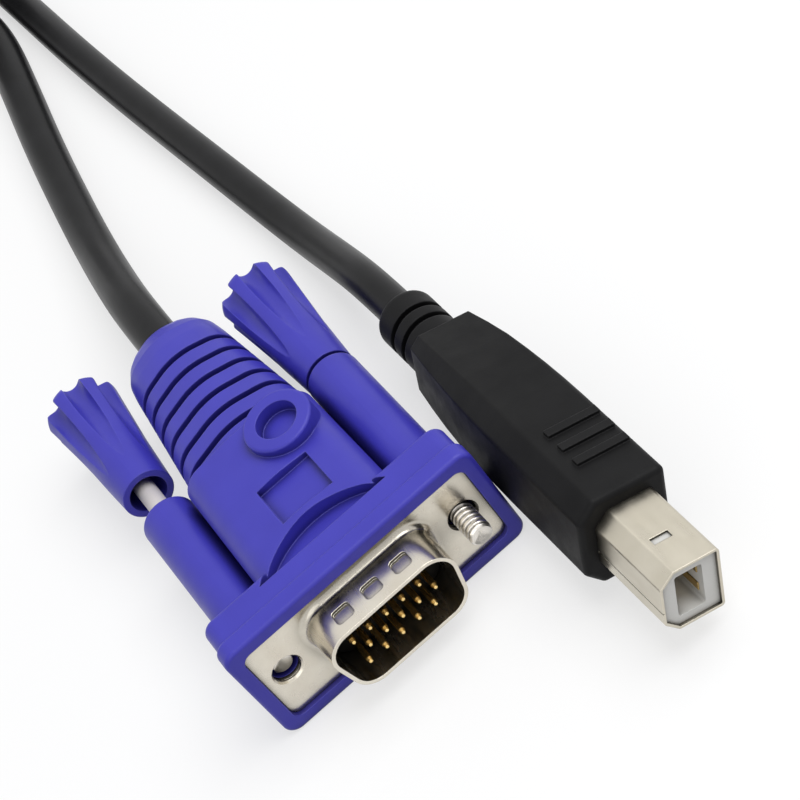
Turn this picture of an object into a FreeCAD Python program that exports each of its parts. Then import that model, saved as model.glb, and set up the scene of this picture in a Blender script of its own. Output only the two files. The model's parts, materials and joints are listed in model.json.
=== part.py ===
import FreeCAD, Part
import math
import os

os.makedirs("parts", exist_ok=True)
V = FreeCAD.Vector
ALONG = V(0, 1, 0)
UP = V(0, 0, 1)

# All sizes in mm. A plug's own frame: x across, y from the mating side to the cord, z up.
RUN_GAP = 0.05             # radial gap round a screw in its bore and in its knob
SET_GAP = 0.03             # gap round the pieces set into a moulding
HOLE_GAP = 0.30            # radial gap round a screw thread in its sheet-metal hole

# Video plug, metal and insulator
SCREW_SPACING = 24.99
METAL_EAR = 2.9            # metal beyond a screw hole's middle
METAL_W = SCREW_SPACING + 2 * METAL_EAR
METAL_H = 12.5
METAL_R = 1.2
SHEET = 0.5
HOLE_SINK = 0.25           # countersink of a screw hole
D_W = 16.92                # inside the skirt, wide side
D_H = 8.36
D_SLOPE = 10.0             # degrees, slanted ends of the skirt
D_R = 2.6
SKIRT_WALL = 0.45
SKIRT_DEPTH = 5.9
SKIRT_ROOT_R = 0.9
DIMPLE_W = 2.3
DIMPLE_L = 2.1
DIMPLE_R = 0.5
DIMPLE_DEPTH = 0.36
DIMPLE_PITCH = 4.0
DIMPLE_Y = -3.4
INSULATOR_FRONT = -0.5
INSULATOR_REAR = 5.0
PIN_R = 0.38
PIN_TIP = -5.2
PIN_PITCH = 2.29
PIN_ROW_PITCH = 1.98
PIN_ROW_SHIFT = 0.57
PIN_NOSE = 0.5

# Video plug, hood
RIM_SIDE = 1.75            # moulding beyond the metal
RIM_W = METAL_W + 2 * RIM_SIDE
RIM_H = METAL_H + 2 * RIM_SIDE
RIM_R = 1.7
RIM_LIP = 0.6              # proud of the metal face
RIM_REAR = 2.0
RIM_EDGE = 0.5
FLANGE_STEP = 0.35
FLANGE_REAR = 6.0
FLANGE_EDGE = 0.7
BODY_HALF_W = 9.3
BODY_HALF_H = 7.6
BODY_REAR_HALF_W = 9.0
BODY_REAR_HALF_H = 7.1
BODY_CORNER_R = 3.2
RELIEF_START = 26.2
RELIEF_HALF_W = 8.8
RELIEF_HALF_H = 6.9
RELIEF_REAR_HALF_W = 6.8
RELIEF_REAR_HALF_H = 5.9
RELIEF_CORNER_R = 4.4
RELIEF_REAR_CORNER_R = 4.3
RELIEF_RISE = 2.4          # crowned top and bottom
RELIEF_REAR_RISE = 2.5
RELIEF_CROWN_R = 10.0
RELIEF_REAR_CROWN_R = 8.0
DOME_START = 47.6
HOOD_END = 53.0
TIP_RATIO = 0.62           # dome end against dome start
DOME_SHARES = (0, 0.37, 0.66, 0.86, 0.96, 1)
ARCH = 0.9                 # rise of the top at its middle
GROOVE_COUNT = 6
GROOVE_FIRST = 28.1
GROOVE_PITCH = 3.25
GROOVE_W = 1.05
GROOVE_DEPTH = 1.4
BARREL_R = 3.35
BARREL_EDGE = 0.5
BARREL_END = 30.0
SCOOP_HALF_W = 8.9
SCOOP_Y = 4.6
SCOOP_REAR = 8.8
SCOOP_DEPTH = 2.2
RECESS_X = 0.8
RECESS_W = 7.0
RECESS_L = 6.6
RECESS_Y = 9.8
RECESS_DEPTH = 1.5
RING_X = 4.2
RING_Y = 21.9
RING_R = 4.3
RING_HOLE_R = 2.6
RING_RISE = 1.1
RING_EDGE = 0.35
RING_HOLE_DEPTH = 1.8
INNER_W = 15.6
INNER_H = 8.6
INNER_R = 1.5
INNER_REAR = 20.0

# Thumbscrews
SHAFT_R = 1.25
THREAD_R = 1.42
THREAD_CORE_R = 1.15
THREAD_L = 6.8
SCREW_TIP = -4.0           # pushed in
SCREW_TRAVEL = 5.2
KNOB_L = 20.0
KNOB_STANDOFF = 0.4        # knob to barrel, pushed in
KNOB_FRONT_R = 3.25
KNOB_WAIST_R = 3.75
KNOB_WAIST = 8.0
KNOB_REAR_R = 4.85
KNOB_END_R = 1.3
KNOB_MOUTH_R = 2.4
KNOB_MOUTH_L = 5.0
KNOB_GRIP_L = 14.0         # depth of the screw in the knob
FLUTES = 7
FLUTE_R = 1.25
FLUTE_FRONT_R = 4.75       # its axis from the knob's, at its start
FLUTE_REAR_R = 4.25        # and at the knob's end
FLUTE_START = 4.0
KNOB_HOLLOW_R = 1.9
KNOB_HOLLOW_L = 3.2

# Square data plug
B_W = 8.0
B_H = 7.26
B_BEVEL_W = 1.6
B_BEVEL_H = 1.7
B_R = 0.45
USB_WALL = 0.3
USB_BARE = 11.75           # metal ahead of the overmould
USB_SHELL_L = 17.5
USB_INSULATOR_FRONT = 0.4
USB_INSULATOR_REAR = 15.5
B_CAVITY_W = 5.4
B_CAVITY_H = 3.3
B_CAVITY_L = 9.5
B_CONTACT_X = 1.25
USB_CONTACT_W = 1.0
USB_CONTACT_T = 0.3
USB_CONTACT_SUNK = 0.18
USB_CONTACT_FRONT = 1.4
USB_CONTACT_L = 8.5
B_WINDOW_W = 2.2
B_WINDOW_L = 1.0
B_WINDOW_Y = 4.4
B_SEAM_X = -0.9
B_SEAM_W = 0.16
B_SEAM_DEPTH = 0.15
B_MOULD_W = 11.5
B_MOULD_H = 10.9
B_MOULD_CHAMFER = 2.1
B_MOULD_R = 0.8
B_MOULD_REAR = 49.0
B_MOULD_WAIST = 27.0       # where it begins to narrow
B_MOULD_INSET = 1.5         # each side, at its rear
B_MOULD_EDGE = 0.7
B_RIB_COUNT = 3
B_RIB_FIRST = 17.4
B_RIB_PITCH = 2.8
B_RIB_W = 1.1
B_RIB_RISE = 0.45
B_RIB_BOTTOM = -4.9
B_RIB_TOP = 1.6
B_INNER_W = 8.4
B_INNER_H = 7.6
B_INNER_REAR = 40.0
B_RELIEF_R = 3.7
B_RELIEF_END = 58.5
B_RELIEF_EDGE = 1.2
B_GROOVE_COUNT = 2
USB_GROOVE_W = 0.9
USB_GROOVE_DEPTH = 0.8
USB_GROOVE_PITCH = 2.4

# Flat data plug at the far end
A_W = 12.0
A_H = 4.5
A_R = 0.4
A_TONGUE_T = 1.9
A_TONGUE_BASE = 11.0
A_CONTACT_INNER_X = 1.0
A_CONTACT_OUTER_X = 3.5
A_WINDOW = 2.2
A_WINDOW_X = 2.6
A_WINDOW_Y = 5.2
A_MOULD_W = 15.8
A_MOULD_H = 8.0
A_MOULD_R = 2.0
A_MOULD_REAR = 40.0
A_MOULD_WAIST = 30.0
A_MOULD_INSET = 0.9
A_MOULD_EDGE = 0.6
A_INNER_W = 12.6
A_INNER_H = 5.2
A_INNER_REAR = 32.0
A_RELIEF_R = 3.5
A_RELIEF_END = 48.5
A_RELIEF_EDGE = 0.8
A_GROOVE_COUNT = 3
MOULD_STEPS = 6             # sections in a narrowing overmould

# Where the plugs lie
FLOOR = -RIM_H / 2
B_X = 23.9
B_Y = -28.0
B_YAW = 0.5                # degrees
B_ROLL = 20.0              # degrees, leaning on one long edge

# Cords and the put-away hank
VIDEO_R = 2.8
DATA_R = 2.35
HANK_X = 8.9
HANK_Y = 182.0             # middle of its near fold
HANK_RUN = 84.0
HANK_TOP = 16.4
HANK_EDGE = 1.5
HANK_SLACK = 0.2           # round the turns
HANK_GAP = 0.1             # between the two cords' turns
DATA_FOLD_R = 15.3         # middle of the cord
VIDEO_FOLD_R = DATA_FOLD_R + DATA_R + VIDEO_R + 2 * HANK_SLACK + HANK_GAP
PASS_GAP = 0.3             # round the data cord where it passes under the video cord's turns
PASS_START = (16.6, 151.5)
PASS_END = (10.6, 166.0)
FAR_EXIT_Y = 318.0
FAR_X = 0.0
A_REAR_Y = 193.0
A_X = -9.1
TIE_W = 10.0
TIE_T = 0.8
TIE_Y = 252.0
TIE_R = 1.2


def box(width, height, radius, x=0.0, z=0.0):
    """Corners (x, z, radius) of a rounded rectangle."""
    w, h = width / 2, height / 2
    return [(x - w, z - h, radius), (x + w, z - h, radius), (x + w, z + h, radius), (x - w, z + h, radius)]


def side_normal(a, b):
    """Outward direction of the side from corner a to corner b."""
    dx, dz = b[0] - a[0], b[1] - a[1]
    length = math.hypot(dx, dz)
    return dz / length, -dx / length


def grown(corners, by):
    """The same outline with every side moved outward."""
    moved = []
    for i, (x, z, radius) in enumerate(corners):
        n = side_normal(corners[i - 1], corners[i])
        m = side_normal(corners[i], corners[(i + 1) % len(corners)])
        k = by / (1 + n[0] * m[0] + n[1] * m[1])
        moved.append((x + k * (n[0] + m[0]), z + k * (n[1] + m[1]), max(radius + by, 0.1)))
    return moved


def outline(corners, y):
    """Closed wire with rounded corners, across the plug at y."""
    count = len(corners)
    bends = []
    for i, (x, z, radius) in enumerate(corners):
        p = V(x, y, z)
        before = corners[i - 1]
        after = corners[(i + 1) % count]
        u = (V(before[0], y, before[1]) - p).normalize()
        w = (V(after[0], y, after[1]) - p).normalize()
        half = u.getAngle(w) / 2
        reach = radius / math.tan(half)
        inward = (u + w).normalize()
        bends.append((p + u * reach, p + inward * (radius / math.sin(half) - radius), p + w * reach))
    edges = []
    for i, (start, middle, end) in enumerate(bends):
        edges.append(Part.Arc(start, middle, end).toShape())
        edges.append(Part.LineSegment(end, bends[(i + 1) % count][0]).toShape())
    return Part.Wire(edges)


def prism(corners, start, end):
    return Part.Face(outline(corners, start)).extrude(V(0, end - start, 0))


def loft(sections):
    """Solid through sections (corners, y)."""
    return Part.makeLoft([outline(corners, y) for corners, y in sections], True, True)


def rod(radius, start, end, x=0.0, z=0.0):
    return Part.makeCylinder(radius, end - start, V(x, start, z), ALONG)


def cone(radius, end_radius, start, end, x=0.0, z=0.0):
    return Part.makeCone(radius, end_radius, end - start, V(x, start, z), ALONG)


def block(x0, x1, y0, y1, z0, z1):
    return Part.makeBox(x1 - x0, y1 - y0, z1 - z0, V(x0, y0, z0))


def joined(shapes):
    return shapes[0].multiFuse(shapes[1:]).removeSplitter()


def edges_at(shape, y, reach=1e6):
    """Edges that lie across the plug at y, within reach of its axis plane."""
    found = []
    for edge in shape.Edges:
        inside = [abs(v.Y - y) < 1e-6 and abs(v.X) < reach for v in edge.Vertexes]
        if all(inside):
            found.append(edge)
    return found


def d_corners(by=0.0):
    """Inside outline of the skirt, moved outward."""
    w, h = D_W / 2, D_H / 2
    narrow = w - D_H * math.tan(math.radians(D_SLOPE))
    return grown([(-narrow, -h, D_R), (narrow, -h, D_R), (w, h, D_R), (-w, h, D_R)], by)


def mix(a, b, t):
    return a + (b - a) * t


def hood_corners(y, inset=0.0):
    """Section of the hood's body, strain relief or end dome."""
    if y <= RELIEF_START - 1e-6:
        t = (y - FLANGE_REAR) / (RELIEF_START - FLANGE_REAR)
        w, h = mix(BODY_HALF_W, BODY_REAR_HALF_W, t), mix(BODY_HALF_H, BODY_REAR_HALF_H, t)
        radius, rise, crown = BODY_CORNER_R, ARCH, 2 * BODY_HALF_W
    else:
        t = min((y - RELIEF_START) / (DOME_START - RELIEF_START), 1.0)
        s = max((y - DOME_START) / (HOOD_END - DOME_START), 0.0)
        k = math.sqrt(1 - (1 - TIP_RATIO ** 2) * s * s)
        w = k * mix(RELIEF_HALF_W, RELIEF_REAR_HALF_W, t)
        h = k * mix(RELIEF_HALF_H, RELIEF_REAR_HALF_H, t)
        radius = k * mix(RELIEF_CORNER_R, RELIEF_REAR_CORNER_R, t)
        rise = k * mix(RELIEF_RISE, RELIEF_REAR_RISE, t)
        crown = k * mix(RELIEF_CROWN_R, RELIEF_REAR_CROWN_R, t)
    w, h, radius, crown = w - inset, h - inset, radius - 0.8 * inset, crown - 0.8 * inset
    return [(w, -h + rise, radius), (w, h - rise, radius), (0, h, crown),
            (-w, h - rise, radius), (-w, -h + rise, radius), (0, -h, crown)]


def hood():
    """One moulding: rim, flange, barrels, body, ribbed relief with its dome, and the marks on its top."""
    rim = prism(box(RIM_W, RIM_H, RIM_R), -RIM_LIP, RIM_REAR)
    rim = rim.makeFillet(RIM_EDGE, edges_at(rim, -RIM_LIP) + edges_at(rim, RIM_REAR))
    flange_w, flange_h = RIM_W - 2 * FLANGE_STEP, RIM_H - 2 * FLANGE_STEP
    flange = prism(box(flange_w, flange_h, RIM_R), RIM_REAR - RIM_EDGE, FLANGE_REAR)
    flange = flange.makeFillet(FLANGE_EDGE, edges_at(flange, FLANGE_REAR))
    front = hood_corners(FLANGE_REAR)
    body = loft([(front, FLANGE_REAR - FLANGE_EDGE), (hood_corners(RELIEF_START - 1e-5), RELIEF_START)])
    relief = loft([(hood_corners(RELIEF_START), RELIEF_START), (hood_corners(DOME_START), DOME_START)])
    steps = [mix(DOME_START, HOOD_END, share) for share in DOME_SHARES]
    dome = loft([(hood_corners(y), y) for y in steps])
    for i in range(GROOVE_COUNT):
        y = GROOVE_FIRST + i * GROOVE_PITCH
        collar = prism(box(4 * BODY_HALF_W, 4 * BODY_HALF_H, 1.0), y - GROOVE_W / 2, y + GROOVE_W / 2)
        relief = relief.cut(collar.cut(prism(hood_corners(y, GROOVE_DEPTH), y - GROOVE_W, y + GROOVE_W)))
    barrels = []
    for x in (-SCREW_SPACING / 2, SCREW_SPACING / 2):
        barrel = rod(BARREL_R, RIM_REAR, BARREL_END, x)
        barrels.append(barrel.makeFillet(BARREL_EDGE, edges_at(barrel, BARREL_END)))
    top = mix(BODY_HALF_H, BODY_REAR_HALF_H, (RING_Y - FLANGE_REAR) / (RELIEF_START - FLANGE_REAR))
    ring = Part.makeCylinder(RING_R, top + RING_RISE, V(RING_X, RING_Y, 0))
    ring = ring.makeFillet(RING_EDGE, [e for e in ring.Edges if e.BoundBox.ZMin > top])
    solid = joined([rim, flange, body, relief, dome, ring] + barrels)

    left, right = V(-SCOOP_HALF_W, SCOOP_Y, RIM_H), V(SCOOP_HALF_W, SCOOP_Y, RIM_H)
    crescent = Part.Wire([Part.LineSegment(left, right).toShape(),
                          Part.Arc(right, V(0, SCOOP_REAR, RIM_H), left).toShape()])
    scoop = Part.Face(crescent).extrude(V(0, 0, flange_h / 2 - SCOOP_DEPTH - RIM_H))
    recess = block(RECESS_X - RECESS_W / 2, RECESS_X + RECESS_W / 2, RECESS_Y, RECESS_Y + RECESS_L,
                   BODY_HALF_H - RECESS_DEPTH, RIM_H)
    hole = Part.makeCylinder(RING_HOLE_R, RIM_H, V(RING_X, RING_Y, top + RING_RISE - RING_HOLE_DEPTH))
    cuts = [scoop, recess, hole,
            prism(grown(box(METAL_W, METAL_H, METAL_R), SET_GAP), -RIM_LIP - 1, 2 * SHEET),
            prism(d_corners(SKIRT_WALL + SET_GAP), 2 * SHEET, INSULATOR_REAR),
            prism(grown(box(INNER_W, INNER_H, INNER_R), SET_GAP), INSULATOR_REAR, INNER_REAR),
            rod(VIDEO_R, INNER_REAR, HOOD_END + 1)]
    shoulder = SCREW_TIP + THREAD_L + SCREW_TRAVEL
    for x in (-SCREW_SPACING / 2, SCREW_SPACING / 2):
        cuts.append(rod(THREAD_R + HOLE_GAP, SHEET, shoulder, x))
        cuts.append(rod(SHAFT_R + RUN_GAP, shoulder, BARREL_END + 1, x))
    for cut in cuts:
        solid = solid.cut(cut)
    return solid


def screw_holes(shape):
    for x in (-SCREW_SPACING / 2, SCREW_SPACING / 2):
        shape = shape.cut(rod(THREAD_R + HOLE_GAP, -1, 2 * SHEET + 1, x))
        shape = shape.cut(cone(THREAD_R + HOLE_GAP + HOLE_SINK, THREAD_R + HOLE_GAP, 0, HOLE_SINK, x))
    return shape


def front_shell(full):
    skirt = prism(d_corners(SKIRT_WALL), -SKIRT_DEPTH, SHEET)
    shell = joined([prism(box(METAL_W, METAL_H, METAL_R), 0, SHEET), skirt])
    shell = shell.makeFillet(SKIRT_ROOT_R, edges_at(shell, 0, D_W / 2 + 1))
    shell = shell.cut(prism(d_corners(), -SKIRT_DEPTH - 1, SHEET + 1))
    if full:
        face = D_H / 2 + SKIRT_WALL
        for x in (-DIMPLE_PITCH, 0, DIMPLE_PITCH):
            for z0, z1 in ((-face - 1, -face + DIMPLE_DEPTH), (face - DIMPLE_DEPTH, face + 1)):
                press = block(x - DIMPLE_W / 2, x + DIMPLE_W / 2,
                              DIMPLE_Y - DIMPLE_L / 2, DIMPLE_Y + DIMPLE_L / 2, z0, z1)
                upright = [e for e in press.Edges if e.BoundBox.ZLength > DIMPLE_DEPTH]
                shell = shell.cut(press.makeFillet(DIMPLE_R, upright))
    return screw_holes(shell)


def rear_shell():
    cup = prism(d_corners(SKIRT_WALL), SHEET, INSULATOR_REAR)
    shell = joined([prism(box(METAL_W, METAL_H, METAL_R), SHEET, 2 * SHEET), cup])
    return screw_holes(shell.cut(prism(d_corners(), 0, INSULATOR_REAR + 1)))


def pin_places():
    places = []
    for row in (-1, 0, 1):
        shift = PIN_ROW_SHIFT if row == 0 else -PIN_ROW_SHIFT
        for column in range(-2, 3):
            places.append((column * PIN_PITCH + shift, row * PIN_ROW_PITCH))
    return places


def pins(full):
    made = []
    for x, z in pin_places():
        pin = rod(PIN_R, PIN_TIP + PIN_NOSE, INSULATOR_REAR, x, z)
        if full:
            nose = cone(PIN_R / 2, PIN_R, PIN_TIP, PIN_TIP + PIN_NOSE, x, z)
        else:
            nose = rod(PIN_R, PIN_TIP, PIN_TIP + PIN_NOSE, x, z)
        made.append(joined([pin, nose]))
    return Part.makeCompound(made)


def insulator():
    solid = prism(d_corners(-SET_GAP), INSULATOR_FRONT, INSULATOR_REAR)
    for x, z in pin_places():
        solid = solid.cut(rod(PIN_R, INSULATOR_FRONT - 1, INSULATOR_REAR + 1, x, z))
    return solid


def screw(x, back):
    """Captive steel screw, drawn back by the given amount."""
    tip = SCREW_TIP + back
    thread_end = tip + THREAD_L
    lead = THREAD_R - THREAD_CORE_R
    return joined([cone(THREAD_CORE_R, THREAD_R, tip, tip + lead, x),
                   rod(THREAD_R, tip + lead, thread_end, x),
                   rod(SHAFT_R, thread_end, BARREL_END + KNOB_STANDOFF + back + KNOB_GRIP_L, x)])


def knob(x, back):
    """Moulded finger knob with flutes that deepen to its rounded fingers."""
    y = BARREL_END + KNOB_STANDOFF + back
    solid = joined([cone(KNOB_FRONT_R, KNOB_WAIST_R, y, y + KNOB_WAIST, x),
                    cone(KNOB_WAIST_R, KNOB_REAR_R, y + KNOB_WAIST, y + KNOB_L, x)])
    solid = solid.makeFillet(KNOB_END_R, edges_at(solid, y + KNOB_L))
    cuts = [rod(KNOB_MOUTH_R, y - 1, y + KNOB_MOUTH_L, x),
            rod(SHAFT_R + RUN_GAP, y, y + KNOB_GRIP_L, x),
            rod(KNOB_HOLLOW_R, y + KNOB_L - KNOB_HOLLOW_L, y + KNOB_L + 1, x)]
    for i in range(FLUTES):
        angle = 2 * math.pi * (i + 0.5) / FLUTES
        radial = V(math.cos(angle), 0, math.sin(angle))
        start = V(x, y + FLUTE_START, 0) + radial * FLUTE_FRONT_R
        end = V(x, y + KNOB_L, 0) + radial * FLUTE_REAR_R
        cuts.append(Part.makeCylinder(FLUTE_R, 1.2 * (end - start).Length, start, end - start))
    for cut in cuts:
        solid = solid.cut(cut)
    return solid


def video_plug(left_back, right_back, full):
    half = SCREW_SPACING / 2
    return {
        "hood": hood(),
        "front_shell": front_shell(full),
        "rear_shell": rear_shell(),
        "insulator": insulator(),
        "pins": pins(full),
        "inner_mould": prism(box(INNER_W, INNER_H, INNER_R), INSULATOR_REAR, INNER_REAR),
        "lead_in": rod(VIDEO_R, INNER_REAR, HOOD_END),
        "left_screw": screw(-half, left_back),
        "left_knob": knob(-half, left_back),
        "right_screw": screw(half, right_back),
        "right_knob": knob(half, right_back),
    }


def relief_collar(radius, start, end, edge, grooves):
    """Round strain relief with grooves and a rounded end."""
    collar = rod(radius, start, end)
    collar = collar.makeFillet(edge, [e for e in collar.Edges if e.BoundBox.YMin > end - 1e-6])
    first = (start + end - (grooves - 1) * USB_GROOVE_PITCH) / 2
    for i in range(grooves):
        y = first + i * USB_GROOVE_PITCH
        band = rod(radius + 1, y - USB_GROOVE_W / 2, y + USB_GROOVE_W / 2)
        collar = collar.cut(band.cut(rod(radius - USB_GROOVE_DEPTH, y - USB_GROOVE_W, y + USB_GROOVE_W)))
    return collar


def overmould(corners, waist, rear, inset, edge, collar, inner, inner_rear, shell):
    """Moulding over the rear of a data plug's shell, narrowing in a curve to its strain relief."""
    body = prism(corners, USB_BARE, waist)
    body = body.makeFillet(edge, edges_at(body, USB_BARE))
    shares = [i / MOULD_STEPS for i in range(MOULD_STEPS + 1)]
    tail = loft([(grown(corners, -inset * share ** 2), mix(waist, rear, share)) for share in shares])
    solid = joined([body, tail, collar])
    solid = solid.cut(prism(shell, USB_BARE - 1, USB_SHELL_L))
    solid = solid.cut(prism(inner, USB_SHELL_L, inner_rear))
    return solid.cut(rod(DATA_R, inner_rear, rear + 2 * (rear - USB_BARE)))


def shell_tube(corners, openings):
    tube = prism(corners, 0, USB_SHELL_L).cut(prism(grown(corners, -USB_WALL), -1, USB_SHELL_L + 1))
    for opening in openings:
        tube = tube.cut(opening)
    return tube


def square_plug():
    w, h = B_W / 2, B_H / 2
    shell = [(-w, -h, B_R), (w, -h, B_R), (w, h - B_BEVEL_H, B_R),
             (w - B_BEVEL_W, h, B_R), (-w + B_BEVEL_W, h, B_R), (-w, h - B_BEVEL_H, B_R)]
    inside = grown(shell, -USB_WALL)
    window = block(-B_W, B_W, B_WINDOW_Y, B_WINDOW_Y + B_WINDOW_L, -B_WINDOW_W / 2, B_WINDOW_W / 2)
    seam = block(B_SEAM_X - B_SEAM_W / 2, B_SEAM_X + B_SEAM_W / 2, -1, USB_BARE, h - B_SEAM_DEPTH, h + 1)
    contacts = []
    for x in (-B_CONTACT_X, B_CONTACT_X):
        for side in (-1, 1):
            wall = side * B_CAVITY_H / 2
            z0 = wall + USB_CONTACT_SUNK - USB_CONTACT_T if side > 0 else wall - USB_CONTACT_SUNK
            contacts.append(block(x - USB_CONTACT_W / 2, x + USB_CONTACT_W / 2, USB_CONTACT_FRONT,
                                  USB_CONTACT_FRONT + USB_CONTACT_L, z0, z0 + USB_CONTACT_T))
    core = prism(inside, USB_INSULATOR_FRONT, USB_INSULATOR_REAR)
    core = core.cut(prism(box(B_CAVITY_W, B_CAVITY_H, 0.3), 0, B_CAVITY_L))
    for contact in contacts:
        core = core.cut(contact)
    mw, mh = B_MOULD_W / 2, B_MOULD_H / 2
    mould = [(-mw, -mh, B_MOULD_R), (mw, -mh, B_MOULD_R), (mw, mh - B_MOULD_CHAMFER, B_MOULD_R),
             (mw - B_MOULD_CHAMFER, mh, B_MOULD_R), (-mw + B_MOULD_CHAMFER, mh, B_MOULD_R),
             (-mw, mh - B_MOULD_CHAMFER, B_MOULD_R)]
    inner = box(B_INNER_W, B_INNER_H, 1.0)
    collar = relief_collar(B_RELIEF_R, B_MOULD_REAR - 1, B_RELIEF_END, B_RELIEF_EDGE, B_GROOVE_COUNT)
    grip = overmould(mould, B_MOULD_WAIST, B_MOULD_REAR, B_MOULD_INSET, B_MOULD_EDGE,
                     collar, inner, B_INNER_REAR, shell)
    ribs = []
    for i in range(B_RIB_COUNT):
        y = B_RIB_FIRST + i * B_RIB_PITCH
        for side in (-1, 1):
            x0, x1 = sorted((side * (mw - 0.5), side * (mw + B_RIB_RISE)))
            ribs.append(block(x0, x1, y, y + B_RIB_W, B_RIB_BOTTOM, B_RIB_TOP))
    return {
        "overmould": joined([grip] + ribs),
        "shell": shell_tube(shell, [window, seam]),
        "insulator": core,
        "contacts": Part.makeCompound(contacts),
        "inner_mould": joined([prism(inside, USB_INSULATOR_REAR, USB_SHELL_L),
                               prism(inner, USB_SHELL_L, B_INNER_REAR)]),
        "lead_in": rod(DATA_R, B_INNER_REAR, B_RELIEF_END),
    }


def flat_plug():
    shell = box(A_W, A_H, A_R)
    inside = grown(shell, -USB_WALL)
    windows = []
    for x in (-A_WINDOW_X, A_WINDOW_X):
        windows.append(block(x - A_WINDOW / 2, x + A_WINDOW / 2,
                             A_WINDOW_Y, A_WINDOW_Y + A_WINDOW, -A_H, A_H))
    floor = -A_H / 2 + USB_WALL
    half = A_W / 2 - USB_WALL
    tongue = block(-half + A_R, half - A_R, USB_INSULATOR_FRONT, A_TONGUE_BASE, floor, floor + A_TONGUE_T)
    core = joined([prism(inside, A_TONGUE_BASE, USB_INSULATOR_REAR), tongue])
    contacts = []
    for x in (-A_CONTACT_OUTER_X, -A_CONTACT_INNER_X, A_CONTACT_INNER_X, A_CONTACT_OUTER_X):
        z0 = floor + A_TONGUE_T - USB_CONTACT_SUNK
        contacts.append(block(x - USB_CONTACT_W / 2, x + USB_CONTACT_W / 2, USB_CONTACT_FRONT,
                              USB_CONTACT_FRONT + USB_CONTACT_L, z0, z0 + USB_CONTACT_T))
    for contact in contacts:
        core = core.cut(contact)
    inner = box(A_INNER_W, A_INNER_H, 1.0)
    collar = relief_collar(A_RELIEF_R, A_MOULD_REAR - 1, A_RELIEF_END, A_RELIEF_EDGE, A_GROOVE_COUNT)
    mould = box(A_MOULD_W, A_MOULD_H, A_MOULD_R)
    return {
        "overmould": overmould(mould, A_MOULD_WAIST, A_MOULD_REAR, A_MOULD_INSET, A_MOULD_EDGE,
                               collar, inner, A_INNER_REAR, shell),
        "shell": shell_tube(shell, windows),
        "insulator": core,
        "contacts": Part.makeCompound(contacts),
        "inner_mould": joined([prism(inside, USB_INSULATOR_REAR, USB_SHELL_L),
                               prism(inner, USB_SHELL_L, A_INNER_REAR)]),
        "lead_in": rod(DATA_R, A_INNER_REAR, A_RELIEF_END),
    }


def tube(name, points, radius):
    """Round cord along straight runs and tangent arcs."""
    points = [V(*p) for p in points]
    edges = []
    radii = []
    start = points[0]
    for before, p, after in zip(points, points[1:], points[2:]):
        u, w = before - p, after - p
        reach = 0.45 * min(u.Length, w.Length)
        u.normalize()
        w.normalize()
        half_turn = (math.pi - u.getAngle(w)) / 2
        bend = reach / math.tan(half_turn)
        middle = p + (u + w).normalize() * (bend / math.cos(half_turn) - bend)
        edges.append(Part.LineSegment(start, p + u * reach).toShape())
        edges.append(Part.Arc(p + u * reach, middle, p + w * reach).toShape())
        radii.append(bend)
        start = p + w * reach
    edges.append(Part.LineSegment(start, points[-1]).toShape())
    path = Part.Wire(edges)
    profile = Part.Wire(Part.makeCircle(radius, points[0], points[1] - points[0]))
    solid = path.makePipeShell([profile], True, False)
    ratio = solid.Volume / (math.pi * radius ** 2 * path.Length)
    print(name, "length %.1f" % path.Length, "smallest radius %.1f" % min(radii),
          "volume ratio %.4f" % ratio)
    return solid


def oval(radius, z):
    """Face of a long oval round the hank's middle line."""
    near_y, far_y = HANK_Y, HANK_Y + HANK_RUN
    a, b = V(HANK_X + radius, near_y, z), V(HANK_X + radius, far_y, z)
    c, d = V(HANK_X - radius, far_y, z), V(HANK_X - radius, near_y, z)
    return Part.Face(Part.Wire([
        Part.LineSegment(a, b).toShape(), Part.Arc(b, V(HANK_X, far_y + radius, z), c).toShape(),
        Part.LineSegment(c, d).toShape(), Part.Arc(d, V(HANK_X, near_y - radius, z), a).toShape()]))


def hank(fold, radius):
    """Closed long ring with the outer shape of a wound cord."""
    reach = V(0, 0, HANK_TOP - FLOOR)
    outside, inside = oval(fold + radius + HANK_SLACK, FLOOR), oval(fold - radius - HANK_SLACK, FLOOR)
    return outside.extrude(reach).cut(inside.extrude(reach))


def rounded(ring):
    return ring.makeFillet(HANK_EDGE, [e for e in ring.Edges if e.BoundBox.ZMin > HANK_TOP - 1e-3])


def under_pass():
    """Channel for the data cord under the video cord's turns."""
    run = V(*PASS_END, 0) - V(*PASS_START, 0)
    half = DATA_R + PASS_GAP
    channel = block(-half, half, 0, run.Length, FLOOR - 1, FLOOR + 2 * DATA_R + PASS_GAP)
    turn = FreeCAD.Rotation(ALONG, run)
    return placed(channel, FreeCAD.Placement(V(*PASS_START, 0), turn))


def tie():
    """Strap round one side of the hank."""
    inner = HANK_X + DATA_FOLD_R - DATA_R - HANK_SLACK
    outer = HANK_X + VIDEO_FOLD_R + VIDEO_R + HANK_SLACK
    inside = [(inner, FLOOR + TIE_T, TIE_R), (outer, FLOOR + TIE_T, TIE_R),
              (outer, HANK_TOP, TIE_R), (inner, HANK_TOP, TIE_R)]
    start, end = TIE_Y - TIE_W / 2, TIE_Y + TIE_W / 2
    return prism(grown(inside, TIE_T), start, end).cut(prism(inside, start - 1, end + 1))


def placed(shape, placement):
    shape = shape.copy()
    shape.Placement = placement.multiply(shape.Placement)
    return shape


near = video_plug(SCREW_TRAVEL, 0.0, True)
far = video_plug(0.0, 0.0, False)
square = square_plug()
flat = flat_plug()

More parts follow.
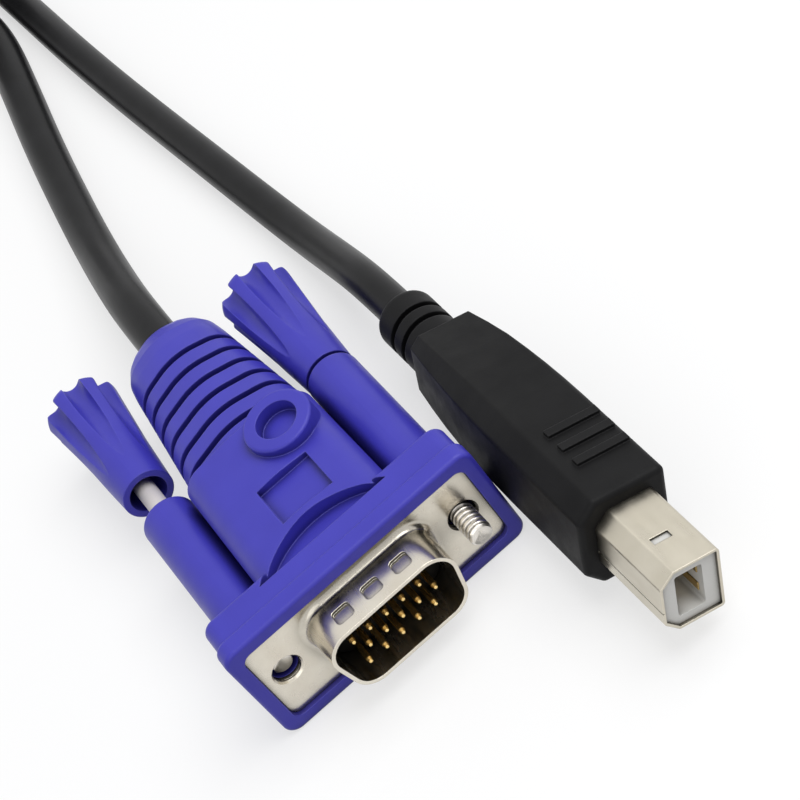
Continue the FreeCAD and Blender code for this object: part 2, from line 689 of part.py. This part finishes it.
lean = FreeCAD.Rotation(UP, B_YAW).multiply(FreeCAD.Rotation(ALONG, B_ROLL - 90))
lowest = placed(square["overmould"], FreeCAD.Placement(V(0, 0, 0), lean)).optimalBoundingBox().ZMin
b_place = FreeCAD.Placement(V(B_X, B_Y, FLOOR - lowest), lean)
about = FreeCAD.Rotation(UP, 180)
a_axis = HANK_TOP + A_MOULD_H / 2
far_place = FreeCAD.Placement(V(FAR_X, FAR_EXIT_Y + HOOD_END, 0), about)
a_place = FreeCAD.Placement(V(A_X, A_REAR_Y + A_RELIEF_END, a_axis), about)

nodes = {"near_video_" + name: shape for name, shape in near.items()}
nodes.update({"far_video_" + name: placed(shape, far_place) for name, shape in far.items()})
nodes.update({"near_data_" + name: placed(shape, b_place) for name, shape in square.items()})
nodes.update({"far_data_" + name: placed(shape, a_place) for name, shape in flat.items()})

b_exit = b_place.multVec(V(0, B_RELIEF_END, 0))
video_route = [(0, HOOD_END, 0), (0.1, 62, -0.1), (0.6, 72, -2.2), (1.5, 83, -4.4), (3.1, 95, -5.2),
               (5.4, 109, -5.2), (8.2, 123, -5.2), (10.8, 137, -5.2), (10.2, 149, -5.2),
               (6.4, 158.5, -5.2), (4.3, 162.6, -5.2)]
data_route = [(b_exit.x, b_exit.y, b_exit.z), (23.3, 38.5, b_exit.z - 0.1), (22.95, 47.5, -2.9),
              (22.35, 57.5, -5.1), (21.5, 69, -5.65), (20.5, 82, -5.65), (19.4, 96, -5.65),
              (18.4, 110, -5.65), (17.65, 124, -5.65), (17.15, 138.5, -5.65),
              (*PASS_START, -5.65), (*PASS_END, -5.65)]
video_end_route = [(-12.0, 261, 13.3), (-12.1, 271, 13.1), (-10.8, 281, 10.4), (-7.3, 291, 5.6),
                   (-3.2, 300, 1.6), (-0.2, 309, 0.1), (FAR_X, FAR_EXIT_Y, 0)]
data_end_route = [(24.2, 240, 13.0), (24.3, 228, 14.4), (24.2, 216, 17.2), (24.3, 204, 19.0),
                  (25.4, 192, 19.6), (26.2, 181, 19.8), (23.0, 171.5, 20.0), (14.3, 165.2, 20.2),
                  (3.5, 165.2, 20.3), (-5.3, 171.5, 20.4), (-8.8, 182, 20.4), (A_X, A_REAR_Y, a_axis)]

strap = tie()
video_hank = hank(VIDEO_FOLD_R, VIDEO_R)
data_hank = hank(DATA_FOLD_R, DATA_R)
nodes["video_cord"] = tube("video_cord", video_route, VIDEO_R).cut(video_hank)
nodes["video_cord_end"] = tube("video_cord_end", video_end_route, VIDEO_R).cut(video_hank)
nodes["data_cord"] = tube("data_cord", data_route, DATA_R).cut(data_hank)
nodes["data_cord_end"] = tube("data_cord_end", data_end_route, DATA_R).cut(data_hank)
nodes["video_hank"] = rounded(video_hank).cut(under_pass()).cut(strap)
nodes["data_hank"] = rounded(data_hank).cut(strap)
nodes["hank_tie"] = strap

for name, shape in nodes.items():
    shape.exportStep("parts/" + name + ".step")
    print(name, "solids", len(shape.Solids), "valid", shape.isValid(), "volume %.2f" % shape.Volume,
          "faces", len(shape.Faces))
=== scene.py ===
import bpy
import json
import math
from mathutils import Matrix, Vector


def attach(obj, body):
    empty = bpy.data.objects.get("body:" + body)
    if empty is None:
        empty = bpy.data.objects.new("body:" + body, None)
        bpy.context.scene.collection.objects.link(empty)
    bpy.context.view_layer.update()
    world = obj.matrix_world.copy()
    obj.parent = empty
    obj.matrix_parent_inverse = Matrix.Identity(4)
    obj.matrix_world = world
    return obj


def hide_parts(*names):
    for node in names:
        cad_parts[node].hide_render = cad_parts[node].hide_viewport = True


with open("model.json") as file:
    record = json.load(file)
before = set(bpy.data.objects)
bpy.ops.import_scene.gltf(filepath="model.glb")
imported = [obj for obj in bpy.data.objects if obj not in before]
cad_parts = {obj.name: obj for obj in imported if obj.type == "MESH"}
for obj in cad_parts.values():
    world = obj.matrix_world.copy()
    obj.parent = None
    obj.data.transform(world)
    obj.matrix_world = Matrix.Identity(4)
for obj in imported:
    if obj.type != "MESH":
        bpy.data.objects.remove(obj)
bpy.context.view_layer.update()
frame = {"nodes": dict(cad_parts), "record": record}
scene = bpy.context.scene

# Stage
FLOOR = -0.008
FLOOR_SIZE = 4.0
FLOOR_WHITE = 0.36         # what the floor sends back of the light on it
FLOOR_GLOW = 0.62          # what it adds where it is seen, so that it reads as white
SKY_LEVEL = 0.45
LENS_MM = 117.0
SENSOR_MM = 36.0
CAMERA_PLACE = (0.0023, -0.1896, 0.2047)
CAMERA_TURN = (-3.8, 44.3, -38.6)      # azimuth, elevation and roll in degrees
LAMP_AIM = (0.01, 0.03, 0)

# Cords and the put-away hank, in metres
VIDEO_R = 0.0028
DATA_R = 0.00235
HANK_X = 0.0089
HANK_Y = 0.182             # middle of its near fold
HANK_RUN = 0.084
VIDEO_FOLD_R = 0.02095
DATA_FOLD_R = 0.0153
TURN_POINTS = 40
BEVEL_STEPS = 6
CURVE_STEPS = 6

# Thumbscrews, in metres
SCREW_X = 0.012495
SCREW_TIP = -0.004
SCREW_TRAVEL = 0.0052
SHAFT_R = 0.00125
SHAFT_END = 0.0444
THREAD_R = 0.00142
THREAD_CORE_R = 0.00115
THREAD_L = 0.0068
THREAD_PITCH = 0.00072
THREAD_STEPS = 12          # rings to a pitch
THREAD_SLOPE = 2.5         # of a groove's flanks
TIP_DIMPLE = 0.0008
SCREW_SIDES = 40
FAR_Y = 0.371              # the far plug's mating face

# Finishes
NOISE_LOW = 0.3            # the noise's middle range
NOISE_HIGH = 0.7
EDGE_SAMPLES = 6
EDGE_NONE = 0.98           # rounded against flat normal: where the painted edge highlight starts to show
EDGE_FULL = 0.80
OPEN_SAMPLES = 8
OPEN_FULL = 0.92           # share of open sky at which the painted corner shade starts, and at which it is full
OPEN_NONE = 0.35
GROOVE_REACH = 0.0016      # how far from its walls the painted shade in a moulded groove reaches
GROOVE_SHADE_SHARE = 0.35         # painted shade in a groove: share of the shade colour left there
CORNER_SHADE_SHARE = 0.06             # painted shade in a corner: share of the stain's colour left there
EDGE_HIGHLIGHT_GAIN = 1.12          # painted highlight: how much brighter a metal is painted on its edges


# Materials
def new_material(name, **sockets):
    """Material with one principled shader, its plain values set on the shader's own sockets."""
    made = bpy.data.materials.new(name)
    made.use_nodes = True
    shader = made.node_tree.nodes["Principled BSDF"]
    for socket, value in sockets.items():
        shader.inputs[socket.replace("_", " ")].default_value = value
    return made, made.node_tree, shader


def noise(tree, scale, detail=4.0, stretch=(1, 1, 1)):
    """Noise in the object's own metres."""
    place = tree.nodes.new("ShaderNodeTexCoord")
    mapping = tree.nodes.new("ShaderNodeMapping")
    mapping.inputs["Scale"].default_value = stretch
    tree.links.new(place.outputs["Object"], mapping.inputs["Vector"])
    texture = tree.nodes.new("ShaderNodeTexNoise")
    texture.inputs["Scale"].default_value = scale
    texture.inputs["Detail"].default_value = detail
    tree.links.new(mapping.outputs["Vector"], texture.inputs["Vector"])
    return texture.outputs["Fac"]


def spread(tree, value, low, high):
    """The noise's middle range mapped to low .. high."""
    node = tree.nodes.new("ShaderNodeMapRange")
    node.inputs["From Min"].default_value = NOISE_LOW
    node.inputs["From Max"].default_value = NOISE_HIGH
    node.inputs["To Min"].default_value = low
    node.inputs["To Max"].default_value = high
    tree.links.new(value, node.inputs["Value"])
    return node.outputs["Result"]


def mixed(tree, factor, first, second):
    """Colour between two, each a plain colour or a socket."""
    node = tree.nodes.new("ShaderNodeMix")
    node.data_type = "RGBA"
    tree.links.new(factor, node.inputs["Factor"])
    for socket, value in ((node.inputs["A"], first), (node.inputs["B"], second)):
        if isinstance(value, tuple):
            socket.default_value = (*value, 1.0)
        else:
            tree.links.new(value, socket)
    return node.outputs["Result"]


def rounded_normal_and_edge_highlight(tree, radius):
    """Soft edges: a rounded normal, and how far it departs from the face's own, the mask for a
    painted edge highlight.
    """
    bevel = tree.nodes.new("ShaderNodeBevel")
    bevel.samples = EDGE_SAMPLES
    bevel.inputs["Radius"].default_value = radius
    face = tree.nodes.new("ShaderNodeNewGeometry")
    dot = tree.nodes.new("ShaderNodeVectorMath")
    dot.operation = "DOT_PRODUCT"
    tree.links.new(bevel.outputs["Normal"], dot.inputs[0])
    tree.links.new(face.outputs["Normal"], dot.inputs[1])
    edge_highlight = tree.nodes.new("ShaderNodeMapRange")
    edge_highlight.inputs["From Min"].default_value = EDGE_NONE
    edge_highlight.inputs["From Max"].default_value = EDGE_FULL
    tree.links.new(dot.outputs["Value"], edge_highlight.inputs["Value"])
    return bevel.outputs["Normal"], edge_highlight.outputs["Result"]


def corner_shade_mask(tree, reach):
    """Mask for painted shade: 0 in the open, towards 1 in a corner or a dent."""
    open_sky = tree.nodes.new("ShaderNodeAmbientOcclusion")
    open_sky.samples = OPEN_SAMPLES
    open_sky.inputs["Distance"].default_value = reach
    depth = tree.nodes.new("ShaderNodeMapRange")
    depth.inputs["From Min"].default_value = OPEN_FULL
    depth.inputs["From Max"].default_value = OPEN_NONE
    tree.links.new(open_sky.outputs["AO"], depth.inputs["Value"])
    return depth.outputs["Result"]


def bumped(tree, shader, height, distance, strength, normal=None):
    """Fine relief on a shader, over a rounded normal where there is one."""
    bump = tree.nodes.new("ShaderNodeBump")
    bump.inputs["Distance"].default_value = distance
    bump.inputs["Strength"].default_value = strength
    tree.links.new(height, bump.inputs["Height"])
    if normal:
        tree.links.new(normal, bump.inputs["Normal"])
    tree.links.new(bump.outputs["Normal"], shader.inputs["Normal"])


def moulded(name, colour, shade, edge_highlight_colour, roughness, grain, edge_radius=0.00025, **sockets):
    """Moulded plastic: faint clouds, painted shade in grooves, fine spark grain, and lighter edges
    as a painted highlight.
    """
    made, tree, shader = new_material(name, **sockets)
    rounded, edge_highlight = rounded_normal_and_edge_highlight(tree, edge_radius)
    cloud = spread(tree, noise(tree, 160), 0.0, 1.0)
    # Painted shade: grooves and dents darkened towards a dim copy of the shade colour
    groove_shade = tuple(GROOVE_SHADE_SHARE * c for c in shade)
    body = mixed(tree, corner_shade_mask(tree, GROOVE_REACH), mixed(tree, cloud, colour, shade), groove_shade)
    # Painted highlight: edges made lighter than the body
    tree.links.new(mixed(tree, edge_highlight, body, edge_highlight_colour), shader.inputs["Base Color"])
    tree.links.new(spread(tree, noise(tree, 420), *roughness), shader.inputs["Roughness"])
    bumped(tree, shader, noise(tree, grain, 2.0), 0.00004, 0.25, rounded)
    return made


def metal(name, colour, stain, roughness, streak, corner, metallic=1.0):
    """Plated metal: drawn streaks, faint stains, uneven polish, painted shade near a corner and a
    painted highlight on edges.
    """
    made, tree, shader = new_material(name, Metallic=metallic)
    rounded, edge_highlight = rounded_normal_and_edge_highlight(tree, 0.00012)
    cloud = spread(tree, noise(tree, 220), 0.0, 1.0)
    # Painted shade: corners darkened towards a dim copy of the stain colour
    corner_shade = tuple(CORNER_SHADE_SHARE * c for c in stain)
    body = mixed(tree, corner_shade_mask(tree, corner), mixed(tree, cloud, colour, stain), corner_shade)
    # Painted highlight: edges made lighter than the body
    metal_edge_highlight = tuple(min(1.0, EDGE_HIGHLIGHT_GAIN * c) for c in colour)
    tree.links.new(mixed(tree, edge_highlight, body, metal_edge_highlight), shader.inputs["Base Color"])
    polish = spread(tree, noise(tree, 700, 3.0, streak), *roughness)
    tree.links.new(polish, shader.inputs["Roughness"])
    bumped(tree, shader, noise(tree, 900, 3.0, streak), 0.00003, 0.12, rounded)
    return made


def jacket():
    """Matte cord jacket with faint extrusion streaks and a dusty bloom."""
    made, tree, shader = new_material("cord_jacket", Specular_IOR_Level=0.20)
    bloom = spread(tree, noise(tree, 300, 6.0), 0.0, 1.0)
    colour = mixed(tree, bloom, (0.0032, 0.0032, 0.0036), (0.007, 0.007, 0.008))
    tree.links.new(colour, shader.inputs["Base Color"])
    polish = spread(tree, noise(tree, 260, 3.0, (1, 0.15, 1)), 0.28, 0.40)
    tree.links.new(polish, shader.inputs["Roughness"])
    bumped(tree, shader, noise(tree, 1700, 3.0, (1, 0.3, 1)), 0.00003, 0.25)
    return made


def strap():
    """Hook-and-loop strap: a fuzzy pile."""
    made, tree, shader = new_material("tie_strap", Roughness=0.92, Sheen_Weight=0.4,
                                      Sheen_Roughness=0.5)
    pile = spread(tree, noise(tree, 2600, 6.0), 0.0, 1.0)
    colour = mixed(tree, pile, (0.010, 0.010, 0.011), (0.045, 0.045, 0.048))
    tree.links.new(colour, shader.inputs["Base Color"])
    bumped(tree, shader, noise(tree, 2600, 6.0), 0.0002, 0.8)
    return made


materials = {
    "violet_plastic": moulded("violet_plastic", (0.050, 0.045, 0.44), (0.044, 0.039, 0.40),
                              (0.088, 0.083, 0.54), (0.35, 0.44), 5200, Specular_IOR_Level=0.36),
    "black_plastic": moulded("black_plastic", (0.003, 0.003, 0.0035), (0.006, 0.006, 0.007),
                             (0.012, 0.012, 0.013), (0.45, 0.55), 4200, 0.0001,
                             Specular_IOR_Level=0.10),
    "black_mould": moulded("black_mould", (0.005, 0.005, 0.0055), (0.009, 0.009, 0.0095),
                           (0.024, 0.024, 0.025), (0.44, 0.56), 4600, Specular_IOR_Level=0.12),
    "white_plastic": moulded("white_plastic", (0.80, 0.79, 0.76), (0.74, 0.73, 0.69),
                             (0.86, 0.86, 0.84), (0.28, 0.38), 3800, 0.0001),
    "clear_mould": moulded("clear_mould", (0.58, 0.55, 0.46), (0.50, 0.47, 0.39),
                           (0.64, 0.61, 0.52), (0.45, 0.60), 2600),
    "plated_steel": metal("plated_steel", (0.74, 0.70, 0.61), (0.66, 0.61, 0.52),
                          (0.18, 0.30), (1, 0.2, 1), 0.0030),
    "drawn_steel": metal("drawn_steel", (0.60, 0.56, 0.47), (0.54, 0.50, 0.41),
                         (0.26, 0.38), (1, 0.2, 1), 0.0015),
    "screw_steel": metal("screw_steel", (0.86, 0.83, 0.78), (0.78, 0.74, 0.68),
                         (0.24, 0.36), (1, 1, 1), 0.0004),
    "shaft_zinc": metal("shaft_zinc", (0.95, 0.90, 0.87), (0.88, 0.83, 0.80),
                        (0.40, 0.50), (1, 1, 1), 0.0003, 0.15),
    "gold_plate": metal("gold_plate", (0.90, 0.66, 0.28), (0.82, 0.57, 0.22),
                        (0.20, 0.30), (1, 0.2, 1), 0.0004),
    "cord_jacket": jacket(),
    "tie_strap": strap(),
}


def dress(piece, slot):
    """Give a piece one material and no other."""
    piece.data.materials.clear()
    piece.data.materials.append(materials[slot])


for part in frame["record"]["subparts"]:
    dress(frame["nodes"][part["node"]], part["material_slot"])
for name in ("near_data_shell", "far_data_shell"):
    dress(frame["nodes"][name], "drawn_steel")


# Cords
def lap(distance, radius):
    """Point on a long oval, clockwise from the near end of its left run."""
    fold = math.pi * radius
    far_y = HANK_Y + HANK_RUN
    distance %= 2 * (HANK_RUN + fold)
    if distance < HANK_RUN:
        return HANK_X - radius, HANK_Y + distance
    distance -= HANK_RUN
    if distance < fold:
        angle = math.pi - distance / radius
        return HANK_X + radius * math.cos(angle), far_y + radius * math.sin(angle)
    distance -= fold
    if distance < HANK_RUN:
        return HANK_X + radius, far_y - distance
    angle = -(distance - HANK_RUN) / radius
    return HANK_X + radius * math.cos(angle), HANK_Y + radius * math.sin(angle)


def winding(radius, start, laps, stop, low, high):
    """Turns of a hank from start on its first lap to stop on its last, climbing evenly."""
    around = 2 * (HANK_RUN + math.pi * radius)
    length = laps * around + stop - start
    count = round(TURN_POINTS * length / around)
    points = []
    for i in range(count + 1):
        share = i / count
        points.append((*lap(start + share * length, radius), low + share * (high - low)))
    return points


def cord(name, points, radius):
    """Smooth round cord through its route."""
    data = bpy.data.curves.new(name, "CURVE")
    data.dimensions = "3D"
    data.bevel_depth = radius
    data.bevel_resolution = BEVEL_STEPS
    data.resolution_u = CURVE_STEPS
    data.use_fill_caps = True
    spline = data.splines.new("NURBS")
    spline.points.add(len(points) - 1)
    for point, place in zip(spline.points, points):
        point.co = (*place, 1.0)
    spline.order_u = 3
    spline.use_endpoint_u = True
    spline.use_smooth = True
    piece = bpy.data.objects.new(name, data)
    scene.collection.objects.link(piece)
    dress(piece, "cord_jacket")
    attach(piece, "cable")
    return piece


video_points = [(0, 0.053, 0), (0.0001, 0.062, -0.0001), (0.0006, 0.072, -0.0022),
                (0.0015, 0.083, -0.0044), (0.0031, 0.095, -0.0052), (0.0054, 0.109, -0.0052),
                (0.0082, 0.123, -0.0052), (0.0108, 0.137, -0.0052), (0.0102, 0.149, -0.0052),
                (0.0064, 0.1585, -0.0052), (0.0043, 0.1626, -0.0052), (-0.0006, 0.1685, -0.0052),
                (-0.0062, 0.1762, -0.0052), (-0.0103, 0.186, -0.0052), (-0.0118, 0.197, -0.0051)]
video_points += winding(VIDEO_FOLD_R, 0.026, 3, 0.071, -0.005, 0.0132)
video_points += [(-0.012, 0.261, 0.0133), (-0.0121, 0.271, 0.0131), (-0.0108, 0.281, 0.0104),
                 (-0.0073, 0.291, 0.0056), (-0.0032, 0.3, 0.0016), (-0.0002, 0.309, 0.0001),
                 (0, 0.318, 0)]
data_points = [(0.02339, 0.0305, -0.0005), (0.0233, 0.0385, -0.0006), (0.02295, 0.0475, -0.0029),
               (0.02235, 0.0575, -0.0051), (0.0215, 0.069, -0.00565), (0.0205, 0.082, -0.00565),
               (0.0194, 0.096, -0.00565), (0.0184, 0.11, -0.00565), (0.01765, 0.124, -0.00565),
               (0.01715, 0.1385, -0.00565), (0.0166, 0.1515, -0.00565), (0.0106, 0.166, -0.00565),
               (0.0052, 0.175, -0.00565), (0.0, 0.1843, -0.00565), (-0.0046, 0.194, -0.00565),
               (-0.0062, 0.2045, -0.0056)]
data_points += winding(DATA_FOLD_R, 0.033, 3, 0.1495, -0.0055, 0.0128)
data_points += [(0.0242, 0.24, 0.013), (0.0243, 0.228, 0.0144), (0.0242, 0.216, 0.0172),
                (0.0243, 0.204, 0.019), (0.0254, 0.192, 0.0196), (0.0262, 0.181, 0.0198),
                (0.023, 0.1715, 0.02), (0.0143, 0.1652, 0.0202), (0.0035, 0.1652, 0.0203),
                (-0.0053, 0.1715, 0.0204), (-0.0088, 0.182, 0.0204), (-0.0091, 0.193, 0.0204)]
video_cord = cord("video_cord_line", video_points, VIDEO_R)
data_cord = cord("data_cord_line", data_points, DATA_R)
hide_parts("video_cord", "video_hank", "video_cord_end")
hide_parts("data_cord", "data_hank", "data_cord_end")


# Threaded screws
def screw(end, side, x, face, way, back):
    """Screw with a cut thread, a short lead at its tip and a plain shaft."""
    around = SCREW_SIDES
    tip = SCREW_TIP + back
    count = round(THREAD_STEPS * THREAD_L / THREAD_PITCH)
    steps = [tip + THREAD_PITCH / THREAD_STEPS * i for i in range(count)]
    steps += [tip + THREAD_L, SHAFT_END + back]
    vertices = [(0, tip + TIP_DIMPLE, 0)]
    for y in steps:
        for k in range(around):
            turn = k / around
            along = y - tip
            phase = (along / THREAD_PITCH - turn) % 1.0
            groove = min(1.0, max(0.0, THREAD_SLOPE * (0.5 - abs(2 * phase - 1))))
            r = THREAD_R - (THREAD_R - THREAD_CORE_R) * groove
            r = min(r, THREAD_CORE_R + along)
            if along > THREAD_L - THREAD_PITCH / 2:
                r = SHAFT_R
            angle = 2 * math.pi * turn
            vertices.append((r * math.cos(angle), y, r * math.sin(angle)))
    vertices.append((0, steps[-1], 0))
    vertices = [(x + way * px, face + way * py, pz) for px, py, pz in vertices]
    faces = [(0, 1 + k, 1 + (k + 1) % around) for k in range(around)]
    for i in range(len(steps) - 1):
        ring = 1 + i * around
        for k in range(around):
            j = (k + 1) % around
            faces.append((ring + k, ring + around + k, ring + around + j, ring + j))
    last = 1 + (len(steps) - 1) * around
    faces += [(last + (k + 1) % around, last + k, len(vertices) - 1) for k in range(around)]
    name = "%s_%s_threaded_screw" % (end, side)
    data = bpy.data.meshes.new(name)
    data.from_pydata(vertices, [], faces)
    data.shade_smooth()
    piece = bpy.data.objects.new(name, data)
    scene.collection.objects.link(piece)
    dress(piece, "screw_steel")
    data.materials.append(materials["shaft_zinc"])
    for polygon in data.polygons[around * (len(steps) - 1):]:
        polygon.material_index = 1
    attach(piece, "%s_%s_screw" % (end, side))
    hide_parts("%s_video_%s_screw" % (end, side))


screw("near", "left", -SCREW_X, 0.0, 1, SCREW_TRAVEL)
screw("near", "right", SCREW_X, 0.0, 1, 0.0)
screw("far", "left", SCREW_X, FAR_Y, -1, 0.0)
screw("far", "right", -SCREW_X, FAR_Y, -1, 0.0)


# Camera, floor and light
def camera():
    """Camera at the photograph's angle, turned about its own line of sight."""
    azimuth, elevation, roll = (math.radians(v) for v in CAMERA_TURN)
    level = math.cos(elevation)
    forward = Vector((-math.sin(azimuth) * level, math.cos(azimuth) * level, -math.sin(elevation)))
    up = (Vector((0, 0, 1)) - forward * forward.z).normalized()
    right = forward.cross(up)
    image_up = math.cos(roll) * up - math.sin(roll) * right
    image_right = math.sin(roll) * up + math.cos(roll) * right
    data = bpy.data.cameras.new("camera")
    data.lens = LENS_MM
    data.sensor_width = SENSOR_MM
    data.clip_start = 0.01
    data.clip_end = 10.0
    item = bpy.data.objects.new("camera", data)
    turn = Matrix((image_right, image_up, -forward)).transposed()
    item.matrix_world = Matrix.Translation(CAMERA_PLACE) @ turn.to_4x4()
    scene.collection.objects.link(item)
    scene.camera = item


def background_ray(tree):
    """1 for rays that show the background: seen directly, mirrored or through."""
    path = tree.nodes.new("ShaderNodeLightPath")
    total = path.outputs["Is Camera Ray"]
    for name in ("Is Glossy Ray", "Is Transmission Ray"):
        add = tree.nodes.new("ShaderNodeMath")
        add.operation = "MAXIMUM"
        tree.links.new(total, add.inputs[0])
        tree.links.new(path.outputs[name], add.inputs[1])
        total = add.outputs["Value"]
    return total


def floor():
    """Pale sweep that keeps the shadow and reads as white where nothing shades it."""
    bpy.ops.mesh.primitive_plane_add(size=FLOOR_SIZE, location=(0, 0, FLOOR))
    sheet = bpy.context.object
    sheet.name = "floor"
    made = bpy.data.materials.new("floor")
    made.use_nodes = True
    tree = made.node_tree
    tree.nodes.clear()
    diffuse = tree.nodes.new("ShaderNodeBsdfDiffuse")
    diffuse.inputs["Color"].default_value = (FLOOR_WHITE, FLOOR_WHITE, FLOOR_WHITE, 1)
    glow = tree.nodes.new("ShaderNodeEmission")
    scale = tree.nodes.new("ShaderNodeMath")
    scale.operation = "MULTIPLY"
    scale.inputs[1].default_value = FLOOR_GLOW
    tree.links.new(background_ray(tree), scale.inputs[0])
    tree.links.new(scale.outputs["Value"], glow.inputs["Strength"])
    add = tree.nodes.new("ShaderNodeAddShader")
    tree.links.new(diffuse.outputs["BSDF"], add.inputs[0])
    tree.links.new(glow.outputs["Emission"], add.inputs[1])
    out = tree.nodes.new("ShaderNodeOutputMaterial")
    tree.links.new(add.outputs["Shader"], out.inputs["Surface"])
    sheet.data.materials.append(made)


def sky():
    """Even studio surround, white where it is seen or mirrored."""
    world = bpy.data.worlds.new("studio")
    scene.world = world
    world.use_nodes = True
    tree = world.node_tree
    light = tree.nodes["Background"]
    light.inputs["Color"].default_value = (0.97, 0.98, 1.0, 1)
    light.inputs["Strength"].default_value = SKY_LEVEL
    white = tree.nodes.new("ShaderNodeBackground")
    white.inputs["Color"].default_value = (1, 1, 1, 1)
    mix = tree.nodes.new("ShaderNodeMixShader")
    tree.links.new(background_ray(tree), mix.inputs["Fac"])
    tree.links.new(light.outputs["Background"], mix.inputs[1])
    tree.links.new(white.outputs["Background"], mix.inputs[2])
    tree.links.new(mix.outputs["Shader"], tree.nodes["World Output"].inputs["Surface"])


def lamp(name, place, size, power):
    """Square soft lamp turned to the plugs."""
    data = bpy.data.lights.new(name, "AREA")
    data.shape = "SQUARE"
    data.size = size
    data.energy = power
    item = bpy.data.objects.new(name, data)
    item.location = place
    way = Vector(LAMP_AIM) - Vector(place)
    item.rotation_euler = way.to_track_quat("-Z", "Y").to_euler()
    scene.collection.objects.link(item)


camera()
floor()
sky()
lamp("key", (0.33, -0.03, 0.67), 0.66, 4.3)
lamp("fill", (-0.35, -0.45, 0.45), 0.60, 0.9)
scene.view_settings.view_transform = "Standard"
